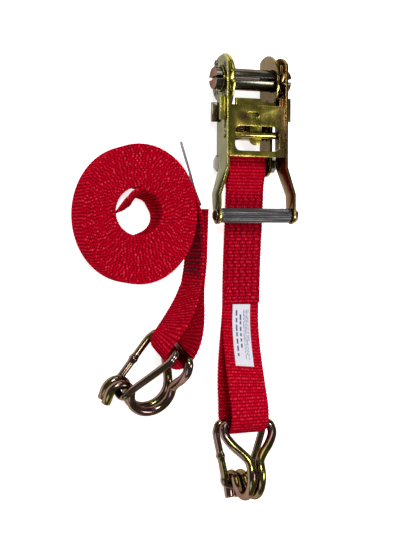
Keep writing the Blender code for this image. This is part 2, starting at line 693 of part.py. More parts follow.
def bridge(start, leaving, end, arriving, count):
    """Stations of a smooth bend between two (middle, across) stations, with its end headings."""
    span = (end[0] - start[0]).length
    found = []
    for step in range(1, count):
        t = step / count
        eased = t * t * (3 - 2 * t)
        middle = start[0].lerp(end[0], eased)
        middle += leaving.normalized() * (span * t * (1 - t) ** 2)
        middle -= arriving.normalized() * (span * t * t * (1 - t))
        found.append((middle, start[1].lerp(end[1], t)))
    return found


def build_tail():
    """The free end: off the roll, on edge, sewn double, then open as the loop for the hook."""
    upright = Vector((0.0, 0.0, 1.0))
    # Direction from the hook loop back to the roll, square to the bar
    back = Vector((0.50, 0.85, 0.0))
    back = (back - LONG_ACROSS * back.dot(LONG_ACROSS)).normalized()
    spread = LONG_ACROSS.cross(back)
    if spread.x > 0:
        spread = -spread
    outer = [
        (Vector((-50.9, 54.5, 17.6)), upright),
        (Vector((-50.0, 44.0, 17.6)), Vector((0.06, 0.0, 1.0))),
        (Vector((-49.4, 24.0, 17.5)), Vector((0.15, 0.0, 0.985))),
        (Vector((-50.0, 5.0, 17.5)), Vector((0.15, 0.0, 0.985))),
        (Vector((-52.3, -12.0, 17.6)), Vector((0.17, 0.0, 0.985))),
    ]
    turn = []
    for step in range(13):
        angle = math.pi * step / 12
        offset = spread * math.cos(angle) - back * math.sin(angle)
        turn.append((LONG_LOOP + offset * LONG_LOOP_R, LONG_ACROSS))
    inner = [
        (Vector((-49.7, -12.0, 17.6)), Vector((0.18, 0.0, 0.983))),
        (Vector((-47.6, 5.0, 17.5)), Vector((0.16, 0.0, 0.985))),
        (Vector((-47.0, 24.0, 17.5)), Vector((0.16, 0.0, 0.985))),
        (Vector((-45.6, 50.0, 17.6)), Vector((0.12, 0.0, 0.99))),
    ]
    away = Vector((-0.30, -0.95, 0.0))
    outer += bridge(outer[-1], away, turn[0], -back, 10)
    inner = bridge(turn[-1], back, inner[0], Vector((0.12, 0.99, 0.0)), 10) + inner
    stations = outer + turn + inner
    middles = smooth([middle for middle, _ in stations], 3)
    acrosses = smooth([across for _, across in stations], 3)
    pivot = LONG_LOOP
    ribbon("long_strap_tail", list(zip(middles, acrosses)), WEB_WIDTH - 1.0, WEB_THICK, RED_WEB, pivot)


def build_tag():
    """A thin tag on edge, sewn under the tail's fold, which leans over the roll."""
    upright = Vector((0.0, 0.0, 1.0))
    leaning = Vector((-0.29, -0.02, 0.957))
    stations = [
        (Vector((-48.0, 53.0, 17.0)), upright),
        (Vector((-51.0, 66.0, 17.3)), upright.lerp(leaning, 0.6)),
        (Vector((-53.6, 79.6, 17.8)), leaning),
        (Vector((-57.9, 93.5, 17.8)), leaning),
        (Vector((-62.2, 107.3, 17.8)), leaning),
    ]
    ribbon("long_strap_tag", stations, 28.0, 0.6, TAG_GREY, LONG_LOOP)


build_frame()
build_anchor()
build_spool()
build_handle()
build_grip()
build_pawls()
tilt = math.radians(SHORT_TILT)
short_along = Vector((0.0, -math.cos(tilt), math.sin(tilt)))
build_hook("short", SHORT_BAR, Vector((1.0, 0.0, 0.0)), short_along, SHORT_LOOP)
build_hook("long", LONG_BAR, LONG_ACROSS, LONG_ALONG_TRUE, LONG_LOOP)
build_short_strap()
build_label()
build_coil()
build_tail()
build_tag()
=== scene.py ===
"""Looks of the two-part ratchet tie down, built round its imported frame.

Shapes are worked out in the layout frame (millimetres, X across the buckle, Y along it, Z up) and
moved to the frame's metres by SET_CENTRE.
"""
import math
import random

import bmesh
import bpy
import numpy as np
from mathutils import Matrix, Vector

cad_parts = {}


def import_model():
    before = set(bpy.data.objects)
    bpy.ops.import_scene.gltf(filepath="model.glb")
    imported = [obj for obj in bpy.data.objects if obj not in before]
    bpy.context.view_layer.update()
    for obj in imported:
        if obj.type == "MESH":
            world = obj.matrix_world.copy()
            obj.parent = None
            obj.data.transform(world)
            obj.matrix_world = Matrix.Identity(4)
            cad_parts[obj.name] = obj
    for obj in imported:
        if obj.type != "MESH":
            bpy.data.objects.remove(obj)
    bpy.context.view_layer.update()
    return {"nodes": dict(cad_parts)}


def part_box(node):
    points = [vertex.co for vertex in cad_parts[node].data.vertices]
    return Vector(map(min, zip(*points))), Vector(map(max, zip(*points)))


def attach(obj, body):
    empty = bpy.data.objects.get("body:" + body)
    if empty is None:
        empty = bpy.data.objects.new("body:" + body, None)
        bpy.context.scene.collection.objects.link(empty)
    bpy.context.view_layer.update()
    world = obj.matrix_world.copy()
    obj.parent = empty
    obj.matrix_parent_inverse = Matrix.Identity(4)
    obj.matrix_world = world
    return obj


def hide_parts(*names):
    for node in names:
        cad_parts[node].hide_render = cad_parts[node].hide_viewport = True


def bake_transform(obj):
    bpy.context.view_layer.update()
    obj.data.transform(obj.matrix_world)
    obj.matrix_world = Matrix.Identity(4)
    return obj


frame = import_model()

MM = 0.001
SET_CENTRE = Vector((-57.3, -10.362, 0.0))
BUCKLE_X = 0.0573  # the buckle's middle, in metres
RANDOM = random.Random(7)

# Webbing
WEB_WIDTH = 35.0
WEB_THICK = 1.8
RIB_PITCH = 2.9
RIB_VALLEY = 0.82  # share of the thickness left between ribs
RIB_SCALLOP = 0.45  # how far the edge draws in between ribs
STRIP = "strip"  # attribute: across, along, share of the dark sewn colour and painted dent shade

# Buckle, as distances from the spool's axis towards the strap
SPOOL_Y = 161.5
SPOOL_Z = 24.5
ANCHOR_Y = 90.0
ANCHOR_Z = 11.0
SLEEVE_R = 6.0

# Hook and keeper wire
HOOK_WIRE_R = 4.0
KEEPER_WIRE_R = 3.2
SHOULDER_B = 22.0
TWIN_B = 4.35
SHANK_U = 38.0
BEND_R = 19.0
CURL_R = 10.0
BEND_TURN = 176.0
CURL_TURN = 168.0
TIP_LENGTH = 9.0
KEEPER_BAR = (-7.0, 13.5)
KEEPER_TILT = 37.0
KEEPER_LENGTH = 58.0
KEEPER_B = 21.5
WELD_B = -16.2
WELD_ALONG = 30.0

# Where the hooks lie
SHORT_BAR = Vector((-8.4, -134.5, 35.7))
SHORT_TILT = 30.0
LONG_BAR = Vector((-67.7, -69.2, 27.9))
LONG_ACROSS = Vector((0.113, -0.376, 0.920)).normalized()
LONG_ALONG = Vector((-0.100, -0.925, -0.366))
LONG_ALONG = (LONG_ALONG - LONG_ACROSS * LONG_ALONG.dot(LONG_ACROSS)).normalized()
LONG_TIPWARD = -LONG_ACROSS.cross(LONG_ALONG)
LONG_LOOP = LONG_BAR - 3.4 * LONG_ALONG + 6.5 * LONG_TIPWARD
LONG_LOOP_R = 12.6

# Short strap
SHORT_LOOP_R = 15.4
SHORT_LOOP_Y = -127.5
SHORT_LOOP_Z = 28.3
LAYER_Z = (1.0, 3.1, 5.2)
SEWN_END_Y = -32.4
STACK_TOP_Y = 66.0
STACK_RISE = 8.0
STRAP_DRIFT = -8.4
LABEL_END_Y = -89.0

# Cloths as cut, width and length
TAG_SIZE = (28.0, 56.0)
LABEL_SIZE = (17.0, 55.0)

# Roll of the long strap
COIL_CENTRE = Vector((-103.3, 44.6, 0.0))
COIL_HALF = (51.2, 58.9)
HOLE_CENTRE = Vector((-104.1, 47.0, 0.0))
HOLE_HALF = (18.6, 18.2)
COIL_TURNS = 19.43
COIL_LEAVES = 24.0  # degrees, where the outer turn becomes the tail
COIL_ROWS = 2400
TURN_OVERLAP = 1.02  # thickness against pitch, so that no light shows between turns
SLIP_WAVES = ((0.6, 6.1), (0.9, 11.3), (1.2, 17.9))  # reach and pace of the winding's unevenness


# ---------------------------------------------------------------- materials

# Metal colours, linear
OLIVE = (0.22, 0.20, 0.025)
GOLD = (0.52, 0.41, 0.075)
GREY_GREEN = (0.115, 0.118, 0.092)
ROSE = (0.19, 0.115, 0.10)
PLUM = (0.060, 0.034, 0.038)
BRONZE = (0.070, 0.044, 0.025)
COPPER = (0.13, 0.058, 0.030)
TAN = (0.16, 0.13, 0.07)
DARK_OLIVE = (0.10, 0.09, 0.030)
WORN = (0.05, 0.035, 0.02)
WARM_EDGE = (0.45, 0.36, 0.32)
SIDE_SHADING = 0.85  # share of the painted side light and shade on a face turned fully left or right
FAR_START_X = BUCKLE_X + 0.014  # metres, where the buckle's browner side starts
FAR_SLOPE = 120.0  # per metre


class Nodes:
    """Short ways to add nodes to a material."""

    def __init__(self, name):
        self.material = bpy.data.materials.new(name)
        self.material.use_nodes = True
        self.tree = self.material.node_tree
        self.shader = self.tree.nodes["Principled BSDF"]

    def add(self, kind, inputs=(), **settings):
        node = self.tree.nodes.new("ShaderNode" + kind)
        for key, value in settings.items():
            setattr(node, key, value)
        for key, value in dict(inputs).items():
            self.put(value, node.inputs[key])
        return node

    def put(self, value, socket):
        """Links an output, or sets a plain value."""
        if isinstance(value, bpy.types.NodeSocket):
            self.tree.links.new(value, socket)
        else:
            socket.default_value = value

    def math(self, operation, a, b=0.0, c=0.0, clamp=False):
        node = self.add("Math", {0: a, 1: b, 2: c}, operation=operation)
        node.use_clamp = clamp
        return node.outputs[0]

    def mix(self, share, a, b):
        node = self.add("Mix", data_type="RGBA")
        self.put(share, node.inputs[0])
        self.put(a, node.inputs[6])
        self.put(b, node.inputs[7])
        return node.outputs[2]

    def noise(self, vector, scale, detail=3.0, roughness=0.5):
        inputs = {"Vector": vector, "Scale": scale, "Detail": detail, "Roughness": roughness}
        return self.add("TexNoise", inputs).outputs["Fac"]

    def ramp(self, share, stops):
        node = self.add("ValToRGB", {0: share})
        elements = node.color_ramp.elements
        while len(elements) < len(stops):
            elements.new(0.5)
        for element, (position, colour) in zip(elements, stops):
            element.position = position
            element.color = (*colour, 1.0)
        return node.outputs["Color"]

    def stretch(self, vector, scale):
        return self.add("Mapping", {"Vector": vector, "Scale": scale}).outputs["Vector"]

    def set(self, **values):
        for key, value in values.items():
            self.put(value, self.shader.inputs[key.replace("_", " ")])

    def bump(self, height, strength, distance):
        made = self.add("Bump", {"Height": height, "Strength": strength, "Distance": distance})
        self.put(made.outputs["Normal"], self.shader.inputs["Normal"])


def strip_axes(nodes):
    """The strip attribute's three numbers: across, along and the share of the dark sewn colour and painted
    dent shade.
    """
    attribute = nodes.add("Attribute", attribute_name=STRIP)
    split = nodes.add("SeparateXYZ", {0: attribute.outputs["Vector"]})
    return attribute.outputs["Vector"], split.outputs["X"], split.outputs["Y"], split.outputs["Z"]


def webbing_material(name, groove_shade, body, sheen_highlight, sewn):
    """Ribbed polyester: ribs across, yarn floats in brick order. The rib crests and yarn floats are painted
    lighter, the grooves painted in shade, and the pale flecks on the crests are a painted sheen.
    """
    nodes = Nodes(name)
    vector, across, along, share = strip_axes(nodes)
    turn = nodes.math("MULTIPLY", along, 2 * math.pi / RIB_PITCH)
    crest = nodes.math("MULTIPLY_ADD", nodes.math("COSINE", turn), -0.5, 0.5)
    row = nodes.math("FLOOR", nodes.math("DIVIDE", along, RIB_PITCH))
    yarn_at = nodes.math("MULTIPLY_ADD", row, math.pi / 2, nodes.math("MULTIPLY", across, math.pi / 1.25))
    yarn = nodes.math("ABSOLUTE", nodes.math("SINE", yarn_at))
    fibre = nodes.noise(nodes.stretch(vector, (6.0, 1.2, 0.0)), 1.0, 2.0)
    patch = nodes.noise(nodes.stretch(vector, (0.09, 0.05, 0.0)), 1.0, 2.0)
    speck = nodes.noise(nodes.stretch(vector, (0.9, 0.34, 0.0)), 1.0, 1.0)
    # Painted light and shade: lit rib crests and yarn floats lighter, the grooves darker in painted shade.
    lit = nodes.math("MULTIPLY", crest, nodes.math("MULTIPLY_ADD", yarn, 0.45, 0.55))
    shade = nodes.math("MULTIPLY_ADD", patch, 0.3, nodes.math("MULTIPLY_ADD", lit, 0.75, -0.02), clamp=True)
    colour = nodes.mix(shade, (*groove_shade, 1.0), (*body, 1.0))
    # Painted sheen: pale highlight flecks on the lit rib crests.
    pale = nodes.math("MULTIPLY", lit, nodes.math("MULTIPLY_ADD", speck, 5.0, -2.6, clamp=True), clamp=True)
    colour = nodes.mix(nodes.math("MULTIPLY", pale, 0.75), colour, (*sheen_highlight, 1.0))
    # The dark sewn colour; along the short strap's sewing dents it is partly painted shade.
    colour = nodes.mix(share, colour, (*sewn, 1.0))
    rough = nodes.math("MULTIPLY_ADD", fibre, 0.25, 0.42)
    nodes.set(Base_Color=colour, Roughness=rough)
    nodes.shader.inputs["Specular IOR Level"].default_value = 0.0
    height = nodes.math("MULTIPLY_ADD", yarn, 0.5, nodes.math("MULTIPLY", fibre, 0.5))
    nodes.bump(height, 0.7, 0.0004)
    return nodes.material


def zinc_material(name, colours, scale, rough, wear, left, right, edge, far=0.0):
    """Chromated zinc: colours that drift over the surface, fine brushed grain and handling wear.

    left and right are painted light and shade on the faces turned that way, edge tints grazing reflections,
    and far is how much browner the buckle's right-hand side is.
    """
    nodes = Nodes(name)
    place = nodes.add("TexCoord").outputs["Object"]
    normal = nodes.add("SeparateXYZ", {0: nodes.add("NewGeometry").outputs["Normal"]})
    drift = nodes.noise(place, scale, 2.0, 0.55)
    share = nodes.math("MULTIPLY_ADD", drift, 2.2, -0.6, clamp=True)
    colour = nodes.ramp(share, colours)
    # Painted light and shade: faces turned left or right take the left or right colour.
    leftward = nodes.math("MULTIPLY", normal.outputs["X"], -SIDE_SHADING, clamp=True)
    rightward = nodes.math("MULTIPLY", normal.outputs["X"], SIDE_SHADING, clamp=True)
    colour = nodes.mix(leftward, colour, (*left, 1.0))
    if far:
        x = nodes.add("SeparateXYZ", {0: place}).outputs["X"]
        side = nodes.math("MULTIPLY_ADD", x, FAR_SLOPE, -FAR_SLOPE * FAR_START_X, clamp=True)
        colour = nodes.mix(nodes.math("MULTIPLY", side, far), colour, (*COPPER, 1.0))
        rightward = nodes.math("MULTIPLY", rightward, nodes.math("MULTIPLY_ADD", share, -0.6, 1.0))
    colour = nodes.mix(rightward, colour, (*right, 1.0))
    grain = nodes.noise(nodes.stretch(place, (900.0, 240.0, 900.0)), 1.0, 3.0)
    stain = nodes.noise(place, 420.0, 4.0, 0.65)
    spots = nodes.math("MULTIPLY_ADD", stain, 5.0, -2.9, clamp=True)
    colour = nodes.mix(nodes.math("MULTIPLY", spots, wear), colour, (*WORN, 1.0))
    level = nodes.math("MULTIPLY_ADD", grain, 0.16, rough - 0.08)
    level = nodes.math("MULTIPLY_ADD", spots, 0.2, level)
    nodes.set(Base_Color=colour, Metallic=1.0, Roughness=level)
    nodes.shader.inputs["Specular Tint"].default_value = (*edge, 1.0)
    nodes.bump(nodes.math("MULTIPLY_ADD", grain, 0.4, nodes.math("MULTIPLY", stain, 0.6)), 0.25, 0.0002)
    return nodes.material


def steel_material(name, light, dark, rough):
    """Clouded bare steel with a fine grain."""
    nodes = Nodes(name)
    place = nodes.add("TexCoord").outputs["Object"]
    cloud = nodes.noise(place, 150.0, 3.0, 0.6)
    grain = nodes.noise(nodes.stretch(place, (1500.0, 500.0, 1500.0)), 1.0, 2.0)
    colour = nodes.mix(nodes.math("MULTIPLY_ADD", cloud, 2.0, -0.5, clamp=True), (*dark, 1.0), (*light, 1.0))
    nodes.set(Base_Color=colour, Metallic=1.0, Roughness=nodes.math("MULTIPLY_ADD", grain, 0.2, rough - 0.1))
    nodes.bump(grain, 0.2, 0.0001)
    return nodes.material


def grip_material():
    """Dark moulded plastic with a fine matt grain."""
    nodes = Nodes("grip_plastic")
    place = nodes.add("TexCoord").outputs["Object"]
    cloud = nodes.noise(place, 90.0, 3.0)
    grain = nodes.noise(place, 2600.0, 2.0)
    colour = nodes.mix(cloud, (0.022, 0.019, 0.020, 1.0), (0.055, 0.048, 0.050, 1.0))
    nodes.set(Base_Color=colour, Roughness=nodes.math("MULTIPLY_ADD", grain, 0.2, 0.14))
    nodes.bump(grain, 0.3, 0.0001)
    return nodes.material


def cloth_material(name, light, dark, pitch):
    """Smooth woven tape, for labels and tags."""
    nodes = Nodes(name)
    vector, across, along, _ = strip_axes(nodes)
    warp = nodes.math("SINE", nodes.math("MULTIPLY", across, 2 * math.pi / pitch))
    weft = nodes.math("SINE", nodes.math("MULTIPLY", along, 2 * math.pi / pitch))
    weave = nodes.math("MULTIPLY_ADD", nodes.math("MULTIPLY", warp, weft), 0.5, 0.5)
    cloud = nodes.noise(nodes.stretch(vector, (0.3, 0.12, 0.0)), 1.0, 3.0)
    share = nodes.math("MULTIPLY_ADD", weave, 0.3, nodes.math("MULTIPLY", cloud, 0.7))
    nodes.set(Base_Color=nodes.mix(share, (*dark, 1.0), (*light, 1.0)), Roughness=0.6)
    nodes.bump(weave, 0.4, 0.0001)
    return nodes.material


def thread_material(name, light, dark):
    """Thread or ink with a fine strand along it."""
    nodes = Nodes(name)
    place = nodes.add("TexCoord").outputs["Object"]
    strand = nodes.noise(nodes.stretch(place, (2200.0, 2200.0, 900.0)), 1.0, 2.0)
    nodes.set(Base_Color=nodes.mix(strand, (*dark, 1.0), (*light, 1.0)), Roughness=0.5)
    nodes.shader.inputs["Specular IOR Level"].default_value = 0.06
    nodes.bump(strand, 0.5, 0.0002)
    return nodes.material


RED = webbing_material(
    "red_webbing",
    # painted shade in the rib grooves
    groove_shade=(0.15, 0.0, 0.004),
    body=(0.50, 0.0, 0.014),
    # painted sheen highlight on the rib crests
    sheen_highlight=(0.78, 0.06, 0.09),
    # dark sewn colour, partly painted shade in the short strap's sewing dents
    sewn=(0.07, 0.0, 0.006),
)
# In these zinc finishes left and right are painted light and shade for faces turned that way.
PLATE = zinc_material(
    "yellow_zinc",
    [(0.0, OLIVE), (0.35, GOLD), (0.55, OLIVE), (0.8, GOLD), (1.0, COPPER)],
    scale=30.0,
    rough=0.2,
    wear=0.2,
    left=GREY_GREEN,
    right=TAN,
    edge=(0.62, 0.60, 0.55),
    far=0.75,
)
WIRE = zinc_material(
    "hook_zinc",
    [(0.0, PLUM), (0.3, ROSE), (0.55, DARK_OLIVE), (0.8, OLIVE), (1.0, PLUM)],
    scale=34.0,
    rough=0.14,
    wear=0.15,
    left=ROSE,
    right=PLUM,
    edge=WARM_EDGE,
)
DULL = zinc_material(
    "dull_zinc",
    [(0.0, BRONZE), (0.5, GREY_GREEN), (1.0, BRONZE)],
    scale=16.0,
    rough=0.2,
    wear=0.08,
    left=ROSE,
    right=BRONZE,
    edge=WARM_EDGE,
)
STEEL = steel_material("bolt_steel", (0.17, 0.14, 0.10), (0.07, 0.055, 0.04), 0.26)
SPRING = steel_material("spring_steel", (0.22, 0.17, 0.12), (0.09, 0.06, 0.04), 0.25)
GRIP = grip_material()
LABEL = cloth_material("label_cloth", (0.62, 0.62, 0.66), (0.46, 0.46, 0.52), 0.5)
TAG = cloth_material("tag_cloth", (0.24, 0.24, 0.26), (0.13, 0.13, 0.15), 0.6)
INK = thread_material("label_ink", (0.10, 0.11, 0.20), (0.05, 0.05, 0.12))
MAROON = thread_material("maroon_thread", (0.10, 0.004, 0.012), (0.035, 0.0, 0.004))
RED_THREAD = thread_material("red_thread", (0.16, 0.0, 0.010), (0.07, 0.0, 0.004))


# ---------------------------------------------------------------- shapes


def in_scene(name, data):
    """A new object in the scene."""
    made = bpy.data.objects.new(name, data)
    bpy.context.scene.collection.objects.link(made)
    return made


def mesh_object(name, points, faces, material, smooth_below):
    """An object of layout points, with its faces turned outward and smooth below an angle."""
    mesh = bpy.data.meshes.new(name)
    placed = (np.asarray(points, float) - np.array(SET_CENTRE)) * MM
    mesh.from_pydata(placed.tolist(), [], faces)
    mesh.materials.append(material)
    shape = bmesh.new()
    shape.from_mesh(mesh)
    if shape.calc_volume(signed=True) < 0:
        bmesh.ops.reverse_faces(shape, faces=shape.faces)
    shape.to_mesh(mesh)
    shape.free()
    mesh.shade_smooth()
    mesh.set_sharp_from_angle(angle=math.radians(smooth_below))
    return in_scene(name, mesh)


def grid_faces(stations, around, closed):
    """Quads between rings of points, and the two end caps where the tube is open."""
    index = np.arange(stations * around).reshape(stations, around)
    first = index if closed else index[:-1]
    second = np.roll(index, -1, 0) if closed else index[1:]
    quads = np.stack([first, np.roll(first, -1, 1), np.roll(second, -1, 1), second], -1)
    faces = quads.reshape(-1, 4).tolist()
    if not closed:
        faces += [index[0][::-1].tolist(), index[-1].tolist()]
    return faces


def add_strip(piece, across, along, sewn):
    """Stores what the woven materials need at every point."""
    values = np.stack([across, along, sewn], -1)
    attribute = piece.data.attributes.new(STRIP, "FLOAT_VECTOR", "POINT")
    attribute.data.foreach_set("vector", np.asarray(values, np.float32).ravel())


def smooth(points, steps):
    """A Catmull-Rom curve through rows of numbers."""
    rows = [np.asarray(point, float) for point in points]
    ends = [2 * rows[0] - rows[1]] + rows + [2 * rows[-1] - rows[-2]]
    found = []
    for a, b, c, d in zip(ends, ends[1:], ends[2:], ends[3:]):
        for step in range(steps):
            t = step / steps
            square = (2 * a - 5 * b + 4 * c - d) * t**2
            cube = (3 * b - a - 3 * c + d) * t**3
            found.append(0.5 * (2 * b + (c - a) * t + square + cube))
    return np.array(found + [rows[-1]])


def run_lengths(points):
    """The length along a curve at each of its points."""
    steps = np.linalg.norm(np.diff(points[:, :3], axis=0), axis=1)
    return np.concatenate([[0.0], np.cumsum(steps)])


def even(rows, step):
    """The rows of a dense curve, spaced evenly along it."""
    lengths = run_lengths(rows)
    at = np.linspace(0.0, lengths[-1], round(lengths[-1] / step) + 1)
    return np.stack([np.interp(at, lengths, column) for column in rows.T], 1)


def unit(vectors):
    """The vectors at length 1."""
    return vectors / np.linalg.norm(vectors, axis=-1, keepdims=True)


def arc(centre, radius, start, end, count):
    """Points on a circle, angles in degrees."""
    angles = np.radians(np.linspace(start, end, count + 1))
    return [(centre[0] + radius * math.cos(a), centre[1] + radius * math.sin(a)) for a in angles]


def rounded_end(station, outward, rounding):
    """Three more stations of a wire, closing in over a quarter turn."""
    centre, radius, normal, tangent = station
    found = []
    for step in (0.5, 0.85, 1.0):
        shift = outward * tangent * rounding * step * 0.6
        sink = rounding * (1 - math.cos(step * math.pi / 2))
        found.append((centre + shift, radius - sink, normal, tangent))
    return found


def wire(name, points, radius, material, closed=False, sides=20, end_round=0.0):
    """A bent round wire. radius is one number or one for each point; ends can be rounded off."""
    points = np.asarray(points, float)
    radii = np.broadcast_to(np.asarray(radius, float), len(points))
    if closed:
        tangents = unit(np.roll(points, -1, 0) - np.roll(points, 1, 0))
    else:
        tangents = unit(np.gradient(points, axis=0))
    normal = Vector(tangents[0]).orthogonal().normalized()
    normals = []
    for tangent in tangents:
        tangent = Vector(tangent)
        normal = (normal - tangent * normal.dot(tangent)).normalized()
        normals.append(normal.copy())
    twist = 0.0
    if closed:
        first = Vector(tangents[0])
        last = (normal - first * normal.dot(first)).normalized()
        twist = math.atan2(first.dot(last.cross(normals[0])), last.dot(normals[0]))
    stations = list(zip(points, radii, normals, tangents))
    if end_round:
        opening = rounded_end(stations[0], -1, end_round)
        stations = opening[::-1] + stations + rounded_end(stations[-1], 1, end_round)
    angles = 2 * np.pi * np.arange(sides) / sides
    rings = []
    for index, (centre, reach, normal, tangent) in enumerate(stations):
        tangent = Vector(tangent)
        across = Matrix.Rotation(twist * index / len(stations), 3, tangent) @ normal
        other = np.array(tangent.cross(across))
        spokes = np.cos(angles)[:, None] * np.array(across) + np.sin(angles)[:, None] * other
        rings.append(centre + reach * spokes)
    faces = grid_faces(len(rings), sides, closed)
    return mesh_object(name, np.concatenate(rings), faces, material, 50.0)


def join(name, pieces):
    """Several objects of one material as one."""
    shape = bmesh.new()
    material = pieces[0].data.materials[0]
    for piece in pieces:
        shape.from_mesh(piece.data)
        bpy.data.objects.remove(piece, do_unlink=True)
    mesh = bpy.data.meshes.new(name)
    shape.to_mesh(mesh)
    shape.free()
    mesh.materials.append(material)
    return in_scene(name, mesh)


def section(top_points, bottom_points):
    """A webbing's cross-section: (share of half width, side) pairs round it, side 1 being the top."""
    flat = 0.965
    top = [(x, 1.0) for x in np.linspace(-flat, flat, top_points)]
    bottom = [(x, -1.0) for x in np.linspace(flat, -flat, bottom_points)]
    return np.array(top + [(0.99, 0.5), (0.99, -0.5)] + bottom + [(-0.99, -0.5), (-0.99, 0.5)])


def row_axes(rows):
    """Unit vectors across the rows' strap and out of its face."""
    along = unit(np.gradient(rows[:, :3], axis=0))
    side = rows[:, 3:6]
    side = unit(side - along * np.sum(side * along, axis=1, keepdims=True))
    return side, np.cross(along, side)


def ribbon(name, rows, across, height, material, smooth_below):
    """A closed strap along rows of (x, y, z, across x, y, z), from each point's place in its section."""
    side, up = row_axes(rows)
    points = rows[:, None, :3] + side[:, None, :] * across[..., None] + up[:, None, :] * height[..., None]
    faces = grid_faces(*across.shape, False)
    return mesh_object(name, points.reshape(-1, 3), faces, material, smooth_below)


def webbing(name, rows, outline, material, width=WEB_WIDTH, sewn=None, dent=None, slip=None):
    """Ribbed webbing along rows of (x, y, z, across x, y, z, thickness).

    sewn gives the share of the dark sewn colour, which along the short strap's sewing dents also stands for
    painted shade, and dent the depth pressed in, from (across, along, side).
    slip gives how far the ribs are shifted along the webbing, from the length along it.
    """
    length = run_lengths(rows)
    woven = length + slip(length) if slip else length
    crest = 0.5 - 0.5 * np.cos(2 * np.pi * woven / RIB_PITCH)
    half_thick = rows[:, 6] / 2 * (RIB_VALLEY + (1 - RIB_VALLEY) * crest**0.7)
    half_width = width / 2 - RIB_SCALLOP * (1 - crest)
    across = half_width[:, None] * outline[None, :, 0]
    height = half_thick[:, None] * outline[None, :, 1]
    along = np.broadcast_to(length[:, None], across.shape)
    side = outline[None, :, 1]
    if dent:
        height = height - np.sign(side) * dent(across, along, side)
    made = ribbon(name, rows, across, height, material, 180.0)
    share = sewn(across, along, side) if sewn else np.zeros_like(across)
    add_strip(made, across, np.broadcast_to(woven[:, None], across.shape), share)
    return made


def tape(name, rows, width, thickness, material):
    """A thin flat label or tag along rows of (x, y, z, across x, y, z)."""
    outline = section(6, 6)
    across = np.broadcast_to(outline[None, :, 0] * width / 2, (len(rows), len(outline)))
    height = np.broadcast_to(outline[None, :, 1] * thickness / 2, across.shape)
    made = ribbon(name, rows, across, height, material, 30.0)
    length = np.broadcast_to(run_lengths(rows)[:, None], across.shape)
    add_strip(made, across, length, np.zeros_like(across))
    return made


def flat(size):
    """A cloth's cut size in metres."""
    return size[0] * MM, size[1] * MM


# ---------------------------------------------------------------- long strap


def coil_rows():
    """The roll from its inner end outward, clockwise from above, as webbing rows."""
    start = COIL_LEAVES + 360.0 * COIL_TURNS
    rows = []
    for step in range(COIL_ROWS + 1):
        share = step / COIL_ROWS
        turned = share * COIL_TURNS * 360.0
        angle = math.radians(start - turned)
        centre = HOLE_CENTRE.lerp(COIL_CENTRE, share)
        half = [
            inner + WEB_THICK / 2 + (outer - inner - WEB_THICK) * share
            for inner, outer in zip(HOLE_HALF, COIL_HALF)
        ]
        reach_x = (COIL_HALF[0] - HOLE_HALF[0]) * math.cos(angle)
        reach_y = (COIL_HALF[1] - HOLE_HALF[1]) * math.sin(angle)
        toward = (COIL_CENTRE - HOLE_CENTRE).dot(Vector((math.cos(angle), math.sin(angle), 0.0)))
        pitch = (math.hypot(reach_x, reach_y) + toward) / COIL_TURNS
        pull, foot = inner_end(turned)
        spot = Vector((half[0] * math.cos(angle) * pull, half[1] * math.sin(angle) * pull, 0.0))
        # The turns' edges don't quite line up
        wobble = 0.27 * math.sin(turned / 47.0) + 0.22 * math.sin(turned / 131.0 + 1.0)
        top = centre + spot + Vector((0.0, 0.0, WEB_WIDTH + 0.3 + wobble))
        bottom = top + foot - Vector((0.0, 0.0, math.sqrt(WEB_WIDTH**2 - foot.length_squared)))
        middle = (top + bottom) / 2
        rows.append((*middle, *(top - bottom).normalized(), pitch * TURN_OVERLAP))
    return rows


# The loose inner end: degrees from its tip, pull in from the wall, and its foot's offset in x and y
INNER_END = np.array(
    [
        (0.0, 0.98, 6.0, -2.0),
        (11.0, 0.92, 8.4, -3.0),
        (23.0, 0.85, 11.0, -4.5),
        (50.0, 0.81, 11.8, -5.6),
        (73.0, 0.91, 10.2, -6.3),
        (92.0, 0.98, 8.0, -6.7),
        (113.0, 1.0, 5.0, -8.0),
        (150.0, 1.0, 0.0, -6.5),
        (180.0, 1.0, 0.0, -5.0),
        (240.0, 1.0, 0.0, 0.0),
    ]
)


def inner_end(turned):
    """How far the loose inner end is pulled in from the wall, and where its foot stands off to."""
    stations, *columns = INNER_END.T

    def rounded(column):
        return sum(np.interp(turned + shift, stations, column) for shift in (-6, 0, 6)) / 3

    pull, x, y = map(rounded, columns)
    return pull, Vector((x, y, 0.0))


def bridge(start, leaving, end, arriving, count):
    """Rows of a smooth bend between two rows, with its end headings."""
    start, end = np.array(start), np.array(end)
    span = np.linalg.norm(end[:3] - start[:3])
    leaving, arriving = unit(np.array(leaving)), unit(np.array(arriving))
    found = []
    for step in range(1, count):
        t = step / count
        row = start + (end - start) * t
        row[:3] = start[:3] + (end[:3] - start[:3]) * t * t * (3 - 2 * t)
        row[:3] += leaving * span * t * (1 - t) ** 2 - arriving * span * t * t * (1 - t)
        found.append(tuple(row))
    return found


